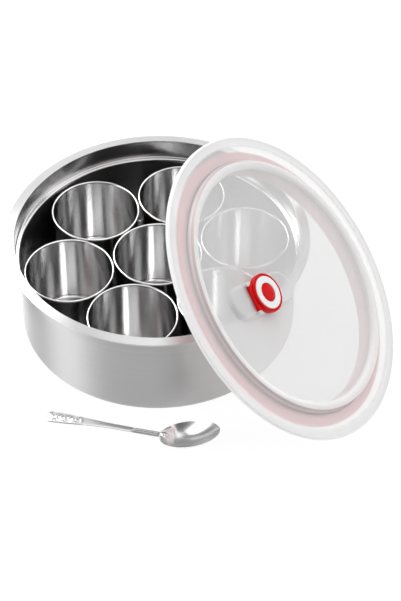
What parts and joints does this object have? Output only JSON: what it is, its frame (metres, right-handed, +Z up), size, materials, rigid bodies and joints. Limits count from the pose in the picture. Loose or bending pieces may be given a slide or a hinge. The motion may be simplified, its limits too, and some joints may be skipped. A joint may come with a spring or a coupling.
{
  "type": "masala dabba spice box",
  "caption": "Round steel spice box with loose steel cups, a small spoon and a frosted lid that leans on its rim and carries a flip-up steam vent.",
  "frame": {"origin": "centre of the box's flat underside, on the table", "axes": "+Z up along the box's axis; -Y towards the viewer and the spoon; +X to the side on which the lid leans"},
  "size_m": [0.2891, 0.2866, 0.1691],
  "materials": {
    "satin_steel": "satin stainless steel, turned and lightly polished",
    "brushed_steel": "stainless steel, finely brushed round the cup",
    "polished_steel": "polished stainless steel with an embossed handle",
    "frosted_plastic": "frosted, see-through polypropylene",
    "pink_silicone": "soft silicone, satin",
    "red_plastic": "glossy moulded plastic",
    "white_plastic": "glossy moulded plastic"
  },
  "bodies": {
    "box": {"box_shell": "satin_steel"},
    "cup_centre": {"cup_centre": "brushed_steel"},
    "cup_1": {"cup_1": "brushed_steel"},
    "cup_2": {"cup_2": "brushed_steel"},
    "cup_3": {"cup_3": "brushed_steel"},
    "cup_4": {"cup_4": "brushed_steel"},
    "cup_5": {"cup_5": "brushed_steel"},
    "cup_6": {"cup_6": "brushed_steel"},
    "lid": {"lid_shell": "frosted_plastic", "lid_gasket": "pink_silicone", "vent_hinge_pin": "satin_steel"},
    "vent": {"vent_flap": "red_plastic", "vent_ring": "white_plastic", "vent_button": "red_plastic", "vent_plug": "pink_silicone"},
    "spoon": {"spoon": "polished_steel"}
  },
  "joints": [
    {"name": "cup_centre_lift", "type": "slide", "parent": "box", "child": "cup_centre", "axis": [0, 0, 1], "range_m": [0, 0.08]},
    {"name": "cup_1_lift", "type": "slide", "parent": "box", "child": "cup_1", "axis": [0, 0, 1], "range_m": [0, 0.03]},
    {"name": "cup_2_lift", "type": "slide", "parent": "box", "child": "cup_2", "axis": [0, 0, 1], "range_m": [0, 0.08]},
    {"name": "cup_3_lift", "type": "slide", "parent": "box", "child": "cup_3", "axis": [0, 0, 1], "range_m": [0, 0.08]},
    {"name": "cup_4_lift", "type": "slide", "parent": "box", "child": "cup_4", "axis": [0, 0, 1], "range_m": [0, 0.08]},
    {"name": "cup_5_lift", "type": "slide", "parent": "box", "child": "cup_5", "axis": [0, 0, 1], "range_m": [0, 0.08]},
    {"name": "cup_6_lift", "type": "slide", "parent": "box", "child": "cup_6", "axis": [0, 0, 1], "range_m": [0, 0.036]},
    {"name": "lid_lift", "type": "slide", "parent": "box", "child": "lid", "axis": [0, 0, 1], "range_m": [0, 0.1]},
    {"name": "vent_flap_hinge", "type": "hinge", "parent": "lid", "child": "vent", "pos_m": [0.06912, -0.09676, 0.10855], "axis": [0.4244, -0.6642, -0.6154], "range_deg": [0, 110]},
    {"name": "spoon_lift", "type": "slide", "parent": "box", "child": "spoon", "axis": [0, -0.7071, 0.7071], "range_m": [0, 0.1]}
  ]
}
